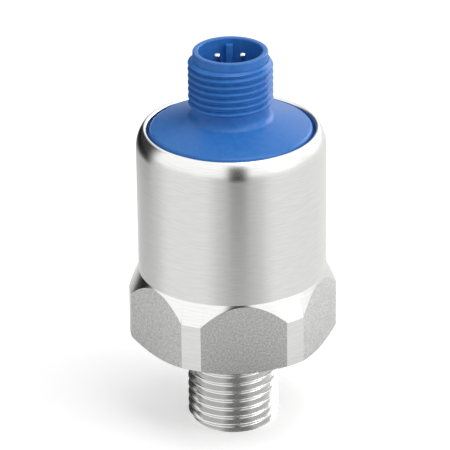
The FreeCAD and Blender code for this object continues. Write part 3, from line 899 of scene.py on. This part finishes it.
# %% Give each face of the body its finish
def steel_finish(face):
    height = face.center.z / MM
    radius = math.hypot(face.center.x, face.center.y) / MM
    if is_flat(face):
        return flat_finish
    if height < UNDERCUT_Z and radius < UNDERCUT_RADIUS:
        return thread_finish
    if height > CONE_TOP_Z and radius > LIP_RADIUS:
        return can_finish
    return cone_finish


def finish_body(piece):
    piece.data.materials.clear()
    for finish in steel_finishes:
        piece.data.materials.append(finish)
    counts = [0] * len(steel_finishes)
    for face in piece.data.polygons:
        face.material_index = steel_finishes.index(steel_finish(face))
        counts[face.material_index] += 1
    print("faces with each steel finish:", counts)


finish_body(body)

# %% [markdown]
# ### Blue moulding and contacts
# A filled nylon is satin, with a faint mottle where it cooled. Its colour sits in the
# plastic, so the shader needs only a weak clear gloss over it. The contacts are
# plated and smooth.


# %% Plastic and plating
def moulded(name, dark, pale, roughness, mottle=1.2, specular=0.5):
    finish, tree, shader = new_finish(name, pale, roughness, specular=specular)
    cloud = grain(tree, EVEN, mottle)
    feed(tree, shader, {
        "Base Color": tint(tree, cloud, 0.3, 0.7, dark, pale),
        "Roughness": spread(tree, cloud, 0.3, 0.7, roughness * 0.85, roughness * 1.15),
        "Normal": relief(tree, grain(tree, EVEN, 14.0), 0.004)})
    return finish


def plated(name, dark, pale, roughness):
    finish, tree, shader = new_finish(name, pale, roughness, metallic=1.0)
    cloud = grain(tree, EVEN, 1.5)
    feed(tree, shader, {
        "Base Color": tint(tree, cloud, 0.3, 0.7, dark, pale),
        "Normal": relief(tree, cloud, 0.002)})
    return finish


def give_finish(piece, finish):
    piece.data.materials.clear()
    piece.data.materials.append(finish)


blue_finish = moulded("blue_filled_nylon", (0.027, 0.160, 0.51), (0.036, 0.192, 0.57), 0.36,
                      specular=0.3)
contact_finish = plated("contact_plating", (0.66, 0.67, 0.70), (0.76, 0.77, 0.80), 0.18)
give_finish(moulding, blue_finish)
for pin in pins:
    give_finish(pin, contact_finish)
print("blue and plated:", 1 + len(pins), "pieces")

# %% [markdown]
# ### The pieces inside
# The pieces inside keep the solid model's own meshes, because their shapes are plain
# and the can hides them. Each still gets a real finish, such as rubber, ceramic, glass,
# laminate or tinned wire. The record names a slot for each piece, so a table from slot
# to finish dresses all of them in one loop.

# %% Finishes by slot
slot_finishes = {
    "stainless": cone_finish,
    "blue_moulding": blue_finish,
    "contact_metal": contact_finish,
    "seal_rubber": moulded("seal_rubber", (0.012, 0.012, 0.012), (0.025, 0.025, 0.026), 0.6),
    "alumina": moulded("alumina", (0.78, 0.77, 0.73), (0.86, 0.85, 0.81), 0.55, mottle=2.0),
    "glass_bond": moulded("glass_bond", (0.42, 0.48, 0.45), (0.55, 0.62, 0.58), 0.25),
    "sleeve_plastic": moulded("sleeve_plastic", (0.05, 0.05, 0.055), (0.08, 0.08, 0.085), 0.5),
    "board_laminate": moulded("board_laminate", (0.02, 0.16, 0.07), (0.03, 0.22, 0.1), 0.35),
    "chip_epoxy": moulded("chip_epoxy", (0.015, 0.015, 0.017), (0.03, 0.03, 0.033), 0.45),
    "capacitor_body": moulded("capacitor_body", (0.32, 0.2, 0.1), (0.42, 0.28, 0.15), 0.4),
    "resistor_body": moulded("resistor_body", (0.02, 0.02, 0.025), (0.04, 0.04, 0.045), 0.4),
    "tinned_wire": plated("tinned_wire", (0.66, 0.66, 0.65), (0.76, 0.76, 0.75), 0.25),
}
for part in frame["record"]["subparts"]:
    give_finish(frame["nodes"][part["node"]], slot_finishes[part["material_slot"]])
print("dressed", len(frame["nodes"]), "solid pieces in", len(slot_finishes), "finishes")

# %% [markdown]
# ## Put the pieces in the frame
# Each modelled piece rides on the frame's one body and stands for the solid it was
# drawn over.


# %% Ride and replace
def stand_for(piece, node):
    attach(piece, "root")
    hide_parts(node)


stand_for(body, "steel_body")
stand_for(moulding, "connector_body")
for number, pin in enumerate(pins, start=1):
    stand_for(pin, "contact_pin_%d" % number)
print("pieces that stand for solids:", 2 + len(pins))

# %% [markdown]
# ## Studio
# Polished metal shows its surroundings, so the studio matters as much as the finish.
# The part stands on a pale floor in a tent of white sheets. The tent has two gaps, one
# where the viewer stands and one behind to the left, which give the metal its soft
# dark stripes. One sheet, behind to the right, is brighter than the rest. Stripes
# could be painted on the metal, but real ones slide over it as a viewer walks round,
# and so do these, because they are in the room. Only reflections see the tent: the
# soft light itself stays plain. The first helpers do sums with nodes, and two more
# tell whether a direction points into a patch of the tent.


# %% Sums with nodes
def arithmetic(tree, operation, *values):
    """A Math node between sockets or numbers."""
    return add_node(tree, "Math", dict(enumerate(values)), operation=operation).outputs["Value"]


def soft_step(tree, value, start, end):
    """0 before start and 1 after end, with a smooth change between."""
    return add_node(tree, "MapRange", {"Value": value, "From Min": start, "From Max": end},
                    interpolation_type="SMOOTHSTEP").outputs["Result"]


def choose(tree, switch, off, on):
    """on where the switch is 1, off where it is 0."""
    return add_node(tree, "Mix", {"Factor": switch, "A": off, "B": on}).outputs["Result"]


# %% Patches of the tent
VIEW_TURN = math.radians(-6.44)


def heading(degrees_right):
    """A level direction, in degrees to the right of the viewer, seen from the part."""
    angle = VIEW_TURN - math.pi / 2 + math.radians(degrees_right)
    return (math.cos(angle), math.sin(angle), 0)


def toward(tree, direction, degrees_right, half_width, softness):
    """1 where a direction's heading lies within half_width of the one given."""
    level = add_node(tree, "VectorMath", {0: direction, 1: (1, 1, 0)}, operation="MULTIPLY")
    unit = add_node(tree, "VectorMath", {0: level.outputs["Vector"]}, operation="NORMALIZE")
    along = add_node(tree, "VectorMath", {
        0: unit.outputs["Vector"], 1: heading(degrees_right)}, operation="DOT_PRODUCT")
    outer = math.cos(math.radians(min(180, half_width + softness)))
    inner = math.cos(math.radians(max(0, half_width - softness)))
    return soft_step(tree, along.outputs["Value"], outer, inner)


def between(tree, rise, low, high, softness):
    """1 where a direction's rise lies between two elevations, in degrees."""
    edges = [math.sin(math.radians(angle)) for angle in (
        low - softness, low + softness, high + softness, high - softness)]
    return arithmetic(tree, "MULTIPLY", soft_step(tree, rise, *edges[:2]),
                      soft_step(tree, rise, *edges[2:]))


def patch(tree, way, sideways, upwards):
    """1 where a way out from the part meets a patch of the tent."""
    rise = add_node(tree, "SeparateXYZ", {"Vector": way}).outputs["Z"]
    return arithmetic(tree, "MULTIPLY", toward(tree, way, **sideways),
                      between(tree, rise, **upwards))


# %% [markdown]
# Each patch has a heading, a half width and two heights, all in degrees, and fades out
# over its softness. A ray from a reflection sees the tent. A ray straight from the
# viewer sees plain white. All other light is even, so it gives no colour or shade of
# its own.

# %% Room
FRONT_GAP = {"degrees_right": 7, "half_width": 10, "softness": 6}
FRONT_GAP_RISE = {"low": -6, "high": 40, "softness": 6}
BACK_GAP = {"degrees_right": -139, "half_width": 33, "softness": 10}
BACK_GAP_RISE = {"low": -6, "high": 34, "softness": 8}
BRIGHT_SHEET = {"degrees_right": 134, "half_width": 17, "softness": 9}
BRIGHT_SHEET_RISE = {"low": 8, "high": 38, "softness": 6}
ROOM_LIGHT = 0.50
TENT_LIGHT = 1.2
GAP_DEPTH = 0.97
SHEET_LIGHT = 4.0


def tent_light(tree, way):
    """How bright the tent is along a way out from the part."""
    gaps = arithmetic(tree, "MAXIMUM", patch(tree, way, FRONT_GAP, FRONT_GAP_RISE),
                      patch(tree, way, BACK_GAP, BACK_GAP_RISE))
    cloth = arithmetic(tree, "MULTIPLY_ADD", gaps, -TENT_LIGHT * GAP_DEPTH, TENT_LIGHT)
    sheet = patch(tree, way, BRIGHT_SHEET, BRIGHT_SHEET_RISE)
    return arithmetic(tree, "MULTIPLY_ADD", sheet, SHEET_LIGHT, cloth)


def add_room():
    room = bpy.data.worlds.new("white_tent")
    bpy.context.scene.world = room
    room.use_nodes = True
    tree = room.node_tree
    way = add_node(tree, "TexCoord", {}).outputs["Generated"]
    ray = add_node(tree, "LightPath", {})
    level = choose(tree, ray.outputs["Is Glossy Ray"], ROOM_LIGHT, tent_light(tree, way))
    level = choose(tree, ray.outputs["Is Camera Ray"], level, 1.0)
    feed(tree, tree.nodes["Background"], {"Color": (1, 1, 1, 1), "Strength": level})


add_room()
print("tent gaps at", FRONT_GAP["degrees_right"], "and", BACK_GAP["degrees_right"],
      "degrees from the viewer")

# %% [markdown]
# ### Floor
# The floor is pale and even. A plain floor would cut the stripes off wherever the
# metal mirrors it, so in reflections it also shows painted shade from the gaps: full far
# away, where the gaps meet the floor, and only as two wide soft bands close to the part.
# Right round the part's foot, reflections also see painted shade on the floor.

# %% Painted shade that the floor shows in reflections
# Bands, depths and reaches of the painted shade that reflections see on the floor.
FRONT_BAND = {"degrees_right": 8, "half_width": 17, "softness": 23}
BACK_BAND = {"degrees_right": -118, "half_width": 18, "softness": 24}
FRONT_DEPTH = {"middle": 0.35, "near": 0.75}
BACK_DEPTH = {"middle": 0.30, "near": 0.97}
FAR_START, FAR_END = 0.06, 0.17
NEAR_START, NEAR_END = 0.045, 0.015
FOOT_START, FOOT_END = 0.05, 0.012
# Painted shade round the part's foot, seen only in reflections.
FOOT_SHADE = 0.26


def painted_gap_shade(tree, place, distance, gap, band, middle, near):
    """Painted shade that one gap puts on the floor at a place, 0 to 1."""
    far = arithmetic(tree, "MULTIPLY", toward(tree, place, **gap),
                     soft_step(tree, distance, FAR_START, FAR_END))
    close = soft_step(tree, distance, NEAR_START, NEAR_END)
    depth = arithmetic(tree, "MULTIPLY_ADD", close, near - middle, middle)
    soft = arithmetic(tree, "MULTIPLY", toward(tree, place, **band), depth)
    return arithmetic(tree, "MAXIMUM", far, soft)


def painted_floor_shade(tree, place):
    """Painted shade on the floor at a place, from both gaps and round the part's foot."""
    distance = add_node(tree, "VectorMath", {0: place}, operation="LENGTH").outputs["Value"]
    front = painted_gap_shade(tree, place, distance, FRONT_GAP, FRONT_BAND, **FRONT_DEPTH)
    back = painted_gap_shade(tree, place, distance, BACK_GAP, BACK_BAND, **BACK_DEPTH)
    # Painted shade round the foot, a stand-in for the part's own shadow on the floor.
    foot = arithmetic(tree, "MULTIPLY", soft_step(tree, distance, FOOT_START, FOOT_END),
                      FOOT_SHADE)
    return arithmetic(tree, "MAXIMUM", arithmetic(tree, "MAXIMUM", front, back), foot)


# %% Floor
FLOOR_SIZE = 4.0
FLOOR_PALE = (0.86, 0.86, 0.86)
FLOOR_LIFT = 0.40
FLOOR_SHINE = 0.9


def pale_floor():
    """A dull pale finish for the viewer, and for reflections a glow with painted shade in it.
    """
    finish, tree, shader = new_finish("pale_floor", FLOOR_PALE, 0.9, specular=0.0)
    ray = add_node(tree, "LightPath", {})
    place = add_node(tree, "TexCoord", {}).outputs["Object"]
    lift = arithmetic(tree, "MULTIPLY", ray.outputs["Is Camera Ray"], FLOOR_LIFT)
    feed(tree, shader, {"Emission Color": (1, 1, 1, 1), "Emission Strength": lift})
    # Reflections see the floor's glow dimmed by painted shade from the gaps and round the foot.
    shine = arithmetic(tree, "MULTIPLY_ADD", painted_floor_shade(tree, place),
                       -FLOOR_SHINE, FLOOR_SHINE)
    glow = add_node(tree, "Emission", {"Strength": shine})
    blend = add_node(tree, "MixShader", {
        "Fac": ray.outputs["Is Glossy Ray"], 1: shader.outputs["BSDF"],
        2: glow.outputs["Emission"]})
    feed(tree, tree.nodes["Material Output"], {"Surface": blend.outputs["Shader"]})
    return finish


bpy.ops.object.select_all(action="DESELECT")
bpy.ops.mesh.primitive_plane_add(size=FLOOR_SIZE, location=(0, 0, 0))
floor = bpy.context.object
floor.name = "studio_floor"
floor.data.materials.append(pale_floor())
print("floor %.1f m across" % FLOOR_SIZE)

# %% [markdown]
# ### Lamps
# Two large soft boxes, one overhead and one to the right, give the part its form and
# the floor its shadow. Small lamps would give hard shadows and white spots.

# %% Lamps
LIT_POINT = Vector((0, 0, 0.03))


def soft_box(name, place, size, power):
    data = bpy.data.lights.new(name, "AREA")
    data.shape = "RECTANGLE"
    data.size = size
    data.size_y = size
    data.energy = power
    lamp = bpy.data.objects.new(name, data)
    bpy.context.scene.collection.objects.link(lamp)
    lamp.location = place
    lamp.rotation_euler = (LIT_POINT - Vector(place)).to_track_quat("-Z", "Y").to_euler()
    print("%s: %.1f W, %.1f m across" % (name, power, size))


soft_box("top_box", (0.12, -0.15, 0.6), 0.4, 1.3)
soft_box("right_box", (0.45, -0.25, 0.3), 0.3, 0.9)

# %% [markdown]
# ## Camera
# The viewer stands half a metre away, a little to the left of the front flat, and
# looks down at about twenty-five degrees through a long lens. A long lens from that
# distance keeps the sides of the part nearly parallel, as a catalogue shows them.
# The camera is leaned over by a small roll and aimed a little beside the target, so
# its three axes are worked out first and then set as one matrix.

# %% Camera
VIEW_DROP = math.radians(25.269)
VIEW_DISTANCE = 0.49956
VIEW_ROLL = math.radians(-0.566)
VIEW_TARGET = Vector((0, 0, 0.030))
AIM_RIGHT = -0.000997
AIM_UP = 0.000306
LENS = 281.07
SENSOR_WIDTH = 36


def view_axes():
    """Where the camera stands, and its right, up and forward directions."""
    ahead = Vector((-math.sin(VIEW_TURN) * math.cos(VIEW_DROP),
                    math.cos(VIEW_TURN) * math.cos(VIEW_DROP), -math.sin(VIEW_DROP)))
    level = Vector((math.cos(VIEW_TURN), math.sin(VIEW_TURN), 0))
    upward = level.cross(ahead)
    right = level * math.cos(VIEW_ROLL) + upward * math.sin(VIEW_ROLL)
    up = upward * math.cos(VIEW_ROLL) - level * math.sin(VIEW_ROLL)
    place = VIEW_TARGET - ahead * VIEW_DISTANCE
    aim = VIEW_TARGET + right * AIM_RIGHT + up * AIM_UP
    look = (aim - place).normalized()
    side = (right - look * right.dot(look)).normalized()
    return place, side, side.cross(look), look


def add_camera():
    place, side, top, look = view_axes()
    data = bpy.data.cameras.new("viewer")
    data.lens = LENS
    data.sensor_width = SENSOR_WIDTH
    camera = bpy.data.objects.new("viewer", data)
    bpy.context.scene.collection.objects.link(camera)
    camera.matrix_world = Matrix((
        (side.x, top.x, -look.x, place.x),
        (side.y, top.y, -look.y, place.y),
        (side.z, top.z, -look.z, place.z),
        (0, 0, 0, 1)))
    bpy.context.scene.camera = camera
    print("camera at (%.3f, %.3f, %.3f) m" % tuple(place))


add_camera()
bpy.context.scene.view_settings.view_transform = "Standard"
